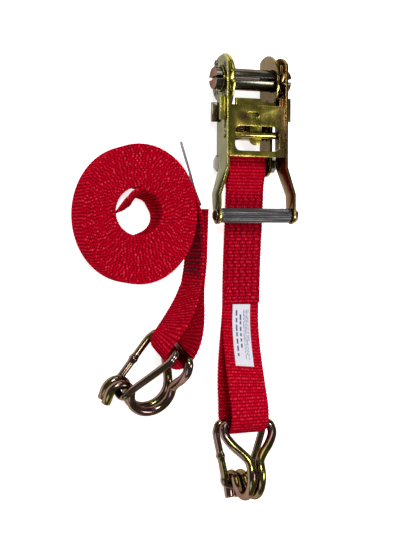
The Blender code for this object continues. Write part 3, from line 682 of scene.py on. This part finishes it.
def tail_rows():
    """From the roll down to the hook, round the loop and back up to the cut end."""
    back = Vector((0.50, 0.85, 0.0))
    back = (back - LONG_ACROSS * back.dot(LONG_ACROSS)).normalized()
    spread = LONG_ACROSS.cross(back)
    if spread.x > 0:
        spread = -spread
    outer = [
        (-50.0, 44.0, 17.6, 0.06, 0.0, 1.0),
        (-49.4, 24.0, 17.5, 0.15, 0.0, 0.985),
        (-50.0, 5.0, 17.5, 0.15, 0.0, 0.985),
        (-52.3, -12.0, 17.6, 0.17, 0.0, 0.985),
    ]
    turn = []
    for step in range(13):
        angle = math.pi * step / 12
        offset = spread * math.cos(angle) - back * math.sin(angle)
        turn.append((*(LONG_LOOP + offset * LONG_LOOP_R), *LONG_ACROSS))
    inner = [
        (-49.7, -12.0, 17.6, 0.18, 0.0, 0.983),
        (-47.6, 5.0, 17.5, 0.16, 0.0, 0.985),
        (-47.0, 24.0, 17.5, 0.16, 0.0, 0.985),
        (-45.6, 50.0, 17.6, 0.12, 0.0, 0.99),
    ]
    outer += bridge(outer[-1], (-0.30, -0.95, 0.0), turn[0], -back, 10)
    return outer + turn + bridge(turn[-1], back, inner[0], (0.12, 0.99, 0.0), 10) + inner


BARTACK = (-14.5, 12.0)  # the stitched rows' reach across the tail, foot to head
BARTACK_Y = (46.0, -11.0)
BARTACK_SPACING = 4.5
SIDE_STITCH = 3.2
THREAD_R = 0.42
SEWN_START = 12.0  # along the tail from the roll
SEWN_LENGTH = 66.0


def build_long_strap():
    """The roll and its tail as one ribbed webbing."""
    roll = np.array(coil_rows())
    tail = [(*row, WEB_THICK) for row in tail_rows()]
    steps = 12
    joined = smooth([roll[-9], roll[-1], *tail], steps)
    tail_rows_dense = joined[steps:]
    coil_even = even(roll, RIB_PITCH / 4)
    tail_even = even(tail_rows_dense, RIB_PITCH / 7)
    rows = np.concatenate([coil_even, tail_even[1:]])
    coil_length = run_lengths(coil_even)[-1]

    def stitched(across, along, _):
        """Darker where the tail's two layers are sewn together."""
        middle = np.abs(across - sum(BARTACK) / 2) < (BARTACK[1] - BARTACK[0]) / 2
        start = coil_length + SEWN_START
        return np.where(middle & (along > start) & (along < start + SEWN_LENGTH), 0.22, 0.0)

    def slip(length):
        """Uneven winding inside the roll, which keeps the ribs of neighbouring turns from lining up."""
        inside = np.clip(length / 120.0, 0.0, 1.0) * np.clip((coil_length - length) / 300.0, 0.0, 1.0)
        return inside * sum(reach * np.sin(length / pace + reach) for reach, pace in SLIP_WAVES)

    strap = webbing("long_strap", rows, section(4, 4), RED, WEB_WIDTH - 0.8, stitched, slip=slip)
    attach(strap, "long_strap")
    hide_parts("long_strap_coil", "long_strap_tail")
    return strap, tail_rows_dense


def build_tail_stitches(dense):
    """Maroon bar tacks across the tail and two lines of lengthwise stitches at their ends."""
    y_high, y_low = BARTACK_Y
    first = dense[: len(dense) // 2]
    middles = first[:, :3]
    side = unit(first[:, 3:6])
    up = np.cross(unit(np.gradient(middles, axis=0)), side)
    facing = np.where(up[:, :1] < 0, up, -up)
    lengths = run_lengths(first)
    inside = [i for i in range(len(first)) if y_low < middles[i, 1] < y_high]
    start, end = lengths[inside[0]], lengths[inside[-1]]
    threads = []

    def spot(at, across, lift):
        i = int(np.searchsorted(lengths, at))
        return middles[i] + side[i] * across + facing[i] * lift

    crossings = 18
    for bar in range(int((end - start) / BARTACK_SPACING)):
        at = start + bar * BARTACK_SPACING
        points = []
        for step in range(crossings + 1):
            across = BARTACK[0] + (BARTACK[1] - BARTACK[0]) * step / crossings
            points.append(spot(at + (0.75 if step % 2 else -0.75), across, 0.95 + 0.12 * (step % 2)))
        threads.append(wire("thread", smooth(points, 3), THREAD_R, MAROON, sides=7))
    for edge in BARTACK:
        for stitch in range(int((end - start) / SIDE_STITCH)):
            at = start + stitch * SIDE_STITCH
            arch = [(2.7 * t, 0.62 + 0.5 * math.sin(math.pi * t)) for t in np.linspace(0, 1, 6)]
            points = [spot(at + ahead, edge, lift) for ahead, lift in arch]
            threads.append(wire("thread", points, THREAD_R, MAROON, sides=7))
    stitches = join("long_strap_stitches", threads)
    stitches.data.shade_smooth()
    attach(stitches, "long_strap")
    return stitches


def build_tag():
    """The sewn-in tag, on edge beside the roll and leaning over it."""
    rows = smooth(
        [
            (-48.0, 53.0, 17.0, 0.0, 0.0, 1.0),
            (-51.0, 66.0, 17.3, -0.17, -0.01, 0.985),
            (-53.6, 79.6, 17.8, -0.29, -0.02, 0.957),
            (-57.9, 93.5, 17.8, -0.29, -0.02, 0.957),
            (-62.2, 107.3, 17.8, -0.29, -0.02, 0.957),
        ],
        10,
    )
    tag = tape("long_strap_tag_cloth", rows, TAG_SIZE[0], 0.6, TAG)
    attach(tag, "long_strap")
    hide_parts("long_strap_tag")
    return tag


# ---------------------------------------------------------------- short strap


def ease(start, end, count):
    """Points of an S-shaped step that starts and ends level."""
    points = []
    for step in range(count + 1):
        t = step / count
        rise = t * t * (3 - 2 * t)
        points.append((start[0] + (end[0] - start[0]) * t, start[1] + (end[1] - start[1]) * rise))
    return points


def drift(y):
    """How far the short strap's middle lies to the left at this y."""
    t = min(max((SEWN_END_Y - y) / (SEWN_END_Y - SHORT_LOOP_Y - SHORT_LOOP_R), 0.0), 1.0)
    return STRAP_DRIFT * t * t * (3 - 2 * t)


def stack_z(layer, y):
    """Height of a layer of the sewn stack, which climbs stiffly from the ground to the anchor."""
    t = (y - SEWN_END_Y) / (STACK_TOP_Y - SEWN_END_Y)
    return LAYER_Z[layer] + STACK_RISE * t * t * (2 - t)


def short_upper_layer():
    """The front layer from the hook loop's top to the sewn part."""
    return ease((SHORT_LOOP_Y, SHORT_LOOP_Z + SHORT_LOOP_R), (SEWN_END_Y - 6.0, LAYER_Z[1]), 28)


DASH_COLUMNS = 6
DASH_PITCH = 6.0
ZIGZAG_PERIOD = 8.2
ZIGZAG_REACH = 1.3
DENT_REACH = 1.25


def zigzag(along):
    """Offset of the sewing line, a triangle wave along the strap."""
    phase = np.mod(along / ZIGZAG_PERIOD, 1.0)
    return ZIGZAG_REACH * (4 * np.abs(phase - 0.5) - 1)


def build_short_strap():
    """One webbing looped round the anchor sleeve and the hook, with its ends sewn in a stack."""
    turn_r = SLEEVE_R + 0.3 + WEB_THICK / 2
    anchor = (ANCHOR_Y, ANCHOR_Z)
    climb = [SEWN_END_Y, -15.0, 5.0, 25.0, 45.0]
    path = [(y, stack_z(2, y)) for y in climb]
    path += ease((STACK_TOP_Y, stack_z(2, STACK_TOP_Y)), (ANCHOR_Y, ANCHOR_Z + turn_r), 12)
    path += arc(anchor, turn_r, 90, -90, 24)[1:-1]
    path += ease((ANCHOR_Y, ANCHOR_Z - turn_r), (STACK_TOP_Y, stack_z(0, STACK_TOP_Y)), 12)
    path += [(y, stack_z(0, y)) for y in reversed(climb)]
    path += ease((SEWN_END_Y - 8.0, LAYER_Z[0]), (SHORT_LOOP_Y, SHORT_LOOP_Z - SHORT_LOOP_R), 20)
    path += arc((SHORT_LOOP_Y, SHORT_LOOP_Z), SHORT_LOOP_R, 270, 90, 32)[1:-1]
    path += short_upper_layer()
    path += [(y, stack_z(1, y)) for y in climb + [62.0]]
    row_step = RIB_PITCH / 6
    rows = even(smooth([(drift(y), y, z, 1.0, 0.0, 0.0, WEB_THICK) for y, z in path], 6), row_step)
    sewn_length = STACK_TOP_Y - SEWN_END_Y

    def in_zone(along, side):
        return (side < 0) & (along > 1.5) & (along < sewn_length)

    def nearness(across, along):
        """1 on a sewing line, falling to 0 beside it."""
        lines = (across - zigzag(along)) / DASH_PITCH + 0.5
        distance = np.abs(lines - np.round(lines)) * DASH_PITCH
        return np.clip(1 - distance / DENT_REACH, 0, 1)

    def dent(across, along, side):
        return np.where(in_zone(along, side), 0.5 * nearness(across, along), 0.0)

    # Darker along the sewing lines: partly the dark sewn line, partly painted shade in the pressed-in dents.
    def sewing_line_and_dent_shade(across, along, side):
        return np.where(in_zone(along, side), 0.85 * nearness(across, along), 0.0)

    strap = webbing("short_strap_webbing", rows, section(6, 44), RED, WEB_WIDTH, sewing_line_and_dent_shade, dent)
    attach(strap, "short_strap")
    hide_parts("short_strap")
    return strap, build_zigzags(rows[: int(sewn_length / row_step)])


def build_zigzags(sewn_rows):
    """Red thread over the sewn stack, in dashes along each zigzag line."""
    threads = []
    lengths = run_lengths(sewn_rows)
    for column in range(DASH_COLUMNS):
        offset = (column - (DASH_COLUMNS - 1) / 2) * DASH_PITCH
        for half in range(int(lengths[-1] / (ZIGZAG_PERIOD / 2)) - 1):
            start = 2.0 + half * ZIGZAG_PERIOD / 2
            points = []
            for t in np.linspace(0.06, 0.94, 6):
                at = start + t * ZIGZAG_PERIOD / 2
                i = int(np.searchsorted(lengths, at))
                x, y, z = sewn_rows[min(i, len(sewn_rows) - 1), :3]
                points.append((x + offset + zigzag(at), y, z + 0.42 + 0.3 * math.sin(math.pi * t)))
            threads.append(wire("thread", points, 0.28, RED_THREAD, sides=6))
    stitches = join("short_strap_stitches", threads)
    stitches.data.shade_smooth()
    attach(stitches, "short_strap")
    return stitches


# Each line's place across the label, its width, its start and end as shares of the length, its dash
PRINT_LINES = [
    (4.6, 1.5, 0.10, 0.88, 3.4),
    (0.8, 1.5, 0.16, 0.72, 3.0),
    (-2.2, 0.5, 0.10, 0.90, 1.6),
    (-3.6, 0.5, 0.10, 0.84, 1.4),
    (-5.0, 0.5, 0.10, 0.90, 1.7),
    (-6.4, 0.5, 0.10, 0.62, 1.5),
]
INK_LIFT = 0.24
INK_THICK = 0.06


def build_label():
    """The sewn-in label with plain printed bars in place of words."""
    lift = WEB_THICK / 2 + 0.5
    upper = [(SEWN_END_Y - 1.5, LAYER_Z[1])]
    upper += [point for point in reversed(short_upper_layer()) if point[0] > LABEL_END_Y]
    rows = even(smooth([(drift(y), y, z + lift, 1.0, 0.0, 0.0) for y, z in upper], 4), 1.0)
    label = tape("short_strap_label_cloth", rows, LABEL_SIZE[0], 0.4, LABEL)
    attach(label, "short_strap")
    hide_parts("short_strap_label")
    bars = []
    for offset, width, first, last, word in PRINT_LINES:
        at = first * len(rows)
        while at < last * len(rows) - 2:
            reach = word * RANDOM.uniform(1.0, 2.2)
            low, high = int(at), int(min(at + reach, last * len(rows) - 1))
            if high > low:
                part = rows[low : high + 1].copy()
                part[:, 0] -= offset
                part[:, 2] += INK_LIFT
                bars.append(tape("bar", part, width, INK_THICK, INK))
            at += reach + word * 0.5
    print_piece = join("short_strap_label_print", bars)
    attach(print_piece, "short_strap")
    return label, print_piece


# ---------------------------------------------------------------- hooks


def hook_outline():
    """The hook's wire from the main bar's middle to one tip, as (b, u, v) points."""
    half = [(0.0, 0.0), (10.0, 0.0), (17.2, 0.2), (20.8, 1.8), (SHOULDER_B, 5.6)]
    half += [(21.4, 11.0), (16.6, 19.0), (9.4, 27.0), (5.4, 32.6), (TWIN_B, 37.0)]
    points = [Vector(row) for row in smooth([(b, u, 0.0) for b, u in half], 6)]
    for step in range(33):
        angle = math.radians(BEND_TURN * step / 32)
        points.append(Vector((TWIN_B, SHANK_U + BEND_R * math.sin(angle), BEND_R - BEND_R * math.cos(angle))))
    turn = math.radians(BEND_TURN)
    middle = points[-1] + Vector((0.0, CURL_R * math.sin(turn), -CURL_R * math.cos(turn)))
    for step in range(1, 25):
        angle = turn - math.radians(CURL_TURN * step / 24)
        points.append(middle + Vector((0.0, -CURL_R * math.sin(angle), CURL_R * math.cos(angle))))
    heading = turn - math.radians(CURL_TURN)
    points.append(points[-1] + Vector((0.0, math.cos(heading), math.sin(heading))) * (TIP_LENGTH - 0.5))
    return points


def keeper_outline():
    """The keeper's closed ring: bar, legs and the flat apex over the curl."""
    half = [(0.0, 0.0), (10.0, 0.0), (17.0, 0.2), (20.3, 1.8), (KEEPER_B, 5.4), (21.2, 12.5)]
    half += [(12.6, 46.0), (12.2, 52.5), (10.4, 56.2), (6.0, KEEPER_LENGTH), (0.0, KEEPER_LENGTH)]
    tilt = math.radians(KEEPER_TILT)
    right = smooth([(b, w, 0.0) for b, w in half], 10)
    ring = [Vector(p) for p in right] + [Vector((-p[0], p[1], 0.0)) for p in right[::-1][1:-1]]
    bar_u, bar_v = KEEPER_BAR
    return [Vector((p.x, bar_u + p.y * math.cos(tilt), bar_v + p.y * math.sin(tilt))) for p in ring]


def build_hook(prefix, bar, across, along, tip_side):
    """A double-J wire hook and its welded keeper ring."""
    tipward = across.cross(along)
    if tipward.dot(tip_side) < 0:
        tipward = -tipward

    def world(point):
        return bar + across * point.x + along * point.y + tipward * point.z

    half = hook_outline()
    whole = [Vector((-p.x, p.y, p.z)) for p in reversed(half[1:])] + half
    path = [world(p) for p in whole]
    hook = wire(f"{prefix}_hook_wire", path, HOOK_WIRE_R, WIRE, sides=24, end_round=0.9)
    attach(hook, f"{prefix}_hook")
    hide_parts(f"{prefix}_hook")
    outline = keeper_outline()
    dense = even(np.array([world(p) for p in outline] + [world(outline[0])]), 0.8)[:-1]
    tilt = math.radians(KEEPER_TILT)
    bar_u, bar_v = KEEPER_BAR
    spot = Vector((WELD_B, WELD_ALONG * math.cos(tilt) + bar_u, WELD_ALONG * math.sin(tilt) + bar_v))
    weld = np.array(world(spot))
    away = np.linalg.norm(dense - weld, axis=1)
    away = away - away.min()
    ripple = 1 + 0.22 * np.exp(-((away / 2.0) ** 2)) * (1 + 0.35 * np.cos(away * 3.2))
    keeper = wire(f"{prefix}_keeper_wire", dense, KEEPER_WIRE_R * ripple, WIRE, closed=True, sides=20)
    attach(keeper, f"{prefix}_keeper")
    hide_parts(f"{prefix}_hook_keeper")


# ---------------------------------------------------------------- buckle

SHARP = math.radians(38)  # edges above this are rounded


def softened(node, body, material, width):
    """A plated copy of a CAD node with its stamped edges rounded."""
    shape = bmesh.new()
    shape.from_mesh(frame["nodes"][node].data)
    bmesh.ops.remove_doubles(shape, verts=shape.verts, dist=3e-6)
    bmesh.ops.dissolve_limit(shape, angle_limit=math.radians(1.0), verts=shape.verts, edges=shape.edges)
    sharp = [e for e in shape.edges if len(e.link_faces) == 2 and e.calc_face_angle() > SHARP]
    if sharp:
        bmesh.ops.bevel(
            shape,
            geom=sharp,
            offset=width * MM,
            offset_type="OFFSET",
            segments=2,
            profile=0.6,
            affect="EDGES",
            clamp_overlap=False,
        )
    bmesh.ops.recalc_face_normals(shape, faces=shape.faces)
    mesh = bpy.data.meshes.new(node + "_plated")
    shape.to_mesh(mesh)
    shape.free()
    mesh.materials.append(material)
    mesh.shade_smooth()
    mesh.set_sharp_from_angle(angle=SHARP)
    made = in_scene(node + "_plated", mesh)
    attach(made, body)
    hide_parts(node)
    return made


def build_spring(node, x, z, start, end):
    """A coil spring between a pawl and its seat.

    start and end are distances from the spool's axis.
    """
    wire_r, coil_r, turns, steps = 0.5, 2.4, 5, 20
    points = []
    for step in range(turns * steps + 1):
        angle = 2 * math.pi * step / steps
        d = start + wire_r + (end - start - 2 * wire_r) * step / (turns * steps)
        points.append((x + coil_r * math.cos(angle), SPOOL_Y - d, z + coil_r * math.sin(angle)))
    made = wire(node + "_wire", points, wire_r, SPRING, sides=10, end_round=0.15)
    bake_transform(made)
    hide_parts(node)


GRIP_R = 6.3
GRIP_RIBS = 18
GRIP_RIB_DEPTH = 0.75


def build_grip():
    """Ribbed plastic sleeve with rounded ends."""
    low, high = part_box("grip_sleeve")
    y, z = (low.y + high.y) / 2 / MM + SET_CENTRE.y, (low.z + high.z) / 2 / MM
    reach = (high.x - low.x) / 2 / MM
    middle_x = (low.x + high.x) / 2 / MM + SET_CENTRE.x
    around = GRIP_RIBS * 6
    rings = []
    # x from the middle, radius, and share of the ribs' depth
    stations = [
        (reach, 3.8, 0.0),
        (reach, 5.3, 0.0),
        (reach - 0.25, 5.75, 0.3),
        (reach - 0.9, GRIP_R - 0.1, 0.8),
        (reach - 2.6, GRIP_R - 0.1, 0.0),
        (reach - 3.0, GRIP_R, 1.0),
    ]
    half = stations + [(-x, r, k) for x, r, k in reversed(stations)]
    for x, radius, ribbing in half:
        ring = []
        for step in range(around):
            angle = 2 * math.pi * step / around
            wave = 0.5 - 0.5 * math.cos(GRIP_RIBS * angle)
            r = radius - GRIP_RIB_DEPTH * ribbing * wave**1.6
            ring.append((middle_x + x, y - r * math.cos(angle), z + r * math.sin(angle)))
        rings.append(ring)
    faces = grid_faces(len(rings), around, True)
    made = mesh_object("grip_sleeve_ribbed", np.array(rings).reshape(-1, 3), faces, GRIP, 50.0)
    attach(made, "grip")
    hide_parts("grip_sleeve")


def build_cotter(side, x):
    """A cotter pin through the two spool halves: an eye, two legs and their bent tips."""
    eye = arc((0.0, 12.6), 2.3, -56, 236, 24)
    legs = [(0.95, -9.5), (1.4, -11.5), (3.6, -13.8)]
    outline = [(a, d) for a, d in reversed(legs)] + [(0.95, 0.0), (0.95, 9.8)] + eye
    outline += [(-0.95, 9.8), (-0.95, 0.0)] + [(-a, d) for a, d in legs]
    points = smooth([(x, SPOOL_Y + d, SPOOL_Z + a) for a, d in outline], 3)
    made = wire(f"cotter_pin_{side}_wire", points, 0.8, STEEL, sides=12, end_round=0.3)
    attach(made, "spool")
    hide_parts(f"cotter_pin_{side}")


def build_buckle():
    """The buckle's plated pieces, springs, grip and cotter pins."""
    for node, body, slot, material, width in (
        ("frame", "buckle_frame", "zinc_plating", PLATE, 0.35),
        ("handle", "handle", "zinc_plating", PLATE, 0.35),
        ("finger_bar", "handle", "zinc_plating", PLATE, 0.3),
        ("driving_pawl", "driving_pawl", "zinc_plating", PLATE, 0.3),
        ("locking_pawl", "locking_pawl", "dull_zinc", DULL, 0.3),
        ("ratchet_wheel_left", "spool", "zinc_plating", PLATE, 0.2),
        ("ratchet_wheel_right", "spool", "zinc_plating", PLATE, 0.2),
        ("spool_washer_left", "spool", "zinc_plating", PLATE, 0.2),
        ("spool_washer_right", "spool", "zinc_plating", PLATE, 0.2),
        ("spool_half_upper", "spool", "dull_zinc", DULL, 0.4),
        ("spool_half_lower", "spool", "dull_zinc", DULL, 0.4),
        ("anchor_bolt", "buckle_frame", "bolt_steel", STEEL, 0.35),
        ("anchor_nut", "buckle_frame", "bolt_steel", STEEL, 0.35),
        ("anchor_sleeve", "buckle_frame", "bolt_steel", STEEL, 0.2),
        ("grip_axle", "handle", "bolt_steel", STEEL, 0.2),
        ("grip_nut", "handle", "bolt_steel", STEEL, 0.3),
    ):
        softened(node, body, material, width)
    build_spring("locking_pawl_spring", x=0.0, z=15.4, start=36.3, end=47.5)
    build_spring("driving_pawl_spring", x=-12.8, z=32.4, start=36.3, end=44.7)
    build_grip()
    build_cotter("left", -32.6)
    build_cotter("right", 31.9)


# ---------------------------------------------------------------- studio

FLOOR_REACH = 3.0  # metres
VIEW_TILT = 21.0  # degrees from straight down, to the left
VIEW_NOD = 2.0
VIEW_AIM = Vector((-37.8, 0.0, 0.0))
VIEW_DISTANCE = 879.5
VIEW_FOCAL = 1.876173  # as a share of the picture's longer side
SENSOR = 36.0


def build_studio():
    """Camera, floor, world and lamps."""
    camera_data = bpy.data.cameras.new("camera")
    camera = in_scene("camera", camera_data)
    tilt, nod = math.radians(VIEW_TILT), math.radians(VIEW_NOD)
    forward = Vector((math.sin(tilt) * math.cos(nod), -math.sin(nod), -math.cos(tilt) * math.cos(nod)))
    up = Vector((math.sin(nod) * math.sin(tilt), math.cos(nod), -math.sin(nod) * math.cos(tilt)))
    right = Vector((math.cos(tilt), 0.0, math.sin(tilt)))
    turn = Matrix((right, up, -forward)).transposed().to_4x4()
    camera.matrix_world = Matrix.Translation((VIEW_AIM - VIEW_DISTANCE * forward - SET_CENTRE) * MM) @ turn
    camera_data.sensor_width = SENSOR
    camera_data.lens = SENSOR * VIEW_FOCAL
    bpy.context.scene.camera = camera

    floor_mesh = bpy.data.meshes.new("floor")
    corners = [(-1, -1), (1, -1), (1, 1), (-1, 1)]
    floor_mesh.from_pydata([(FLOOR_REACH * x, FLOOR_REACH * y, 0.0) for x, y in corners], [], [(0, 1, 2, 3)])
    floor = in_scene("floor", floor_mesh)
    nodes = Nodes("floor_white")
    nodes.set(Base_Color=(0.9, 0.9, 0.9, 1.0), Roughness=0.9)
    nodes.shader.inputs["Specular IOR Level"].default_value = 0.0
    nodes.shader.inputs["Emission Color"].default_value = (1.0, 1.0, 1.0, 1.0)
    nodes.shader.inputs["Emission Strength"].default_value = 0.78
    floor_mesh.materials.append(nodes.material)

    world = bpy.data.worlds.new("studio")
    bpy.context.scene.world = world
    world.use_nodes = True
    world.node_tree.nodes["Background"].inputs["Color"].default_value = (0.85, 0.88, 0.95, 1.0)
    world.node_tree.nodes["Background"].inputs["Strength"].default_value = 0.18

    for name, where, size, power in (
        ("key", (-0.15, 0.40, 1.00), 0.3, 9.0),
        ("fill", (0.60, -0.25, 0.80), 0.35, 5.5),
        ("back", (0.05, 0.95, 0.55), 0.5, 2.5),
        ("front", (-0.55, -0.75, 0.50), 0.5, 1.5),
    ):
        lamp_data = bpy.data.lights.new(name, "AREA")
        lamp_data.energy = power
        lamp_data.size = size
        lamp = in_scene(name, lamp_data)
        lamp.location = where
        lamp.rotation_euler = (-Vector(where)).to_track_quat("-Z", "Y").to_euler()
    bpy.context.scene.view_settings.view_transform = "Standard"


build_studio()
long_strap, tail_dense = build_long_strap()
tail_stitches = build_tail_stitches(tail_dense)
tag = build_tag()
short_strap, short_stitches = build_short_strap()
label, label_print = build_label()
short_along = Vector((0.0, -math.cos(math.radians(SHORT_TILT)), math.sin(math.radians(SHORT_TILT))))
build_hook("short", SHORT_BAR, Vector((1.0, 0.0, 0.0)), short_along, tip_side=Vector((0, 0, -1)))
build_hook("long", LONG_BAR, LONG_ACROSS, LONG_ALONG, tip_side=Vector((-1, 0, 0)))
build_buckle()
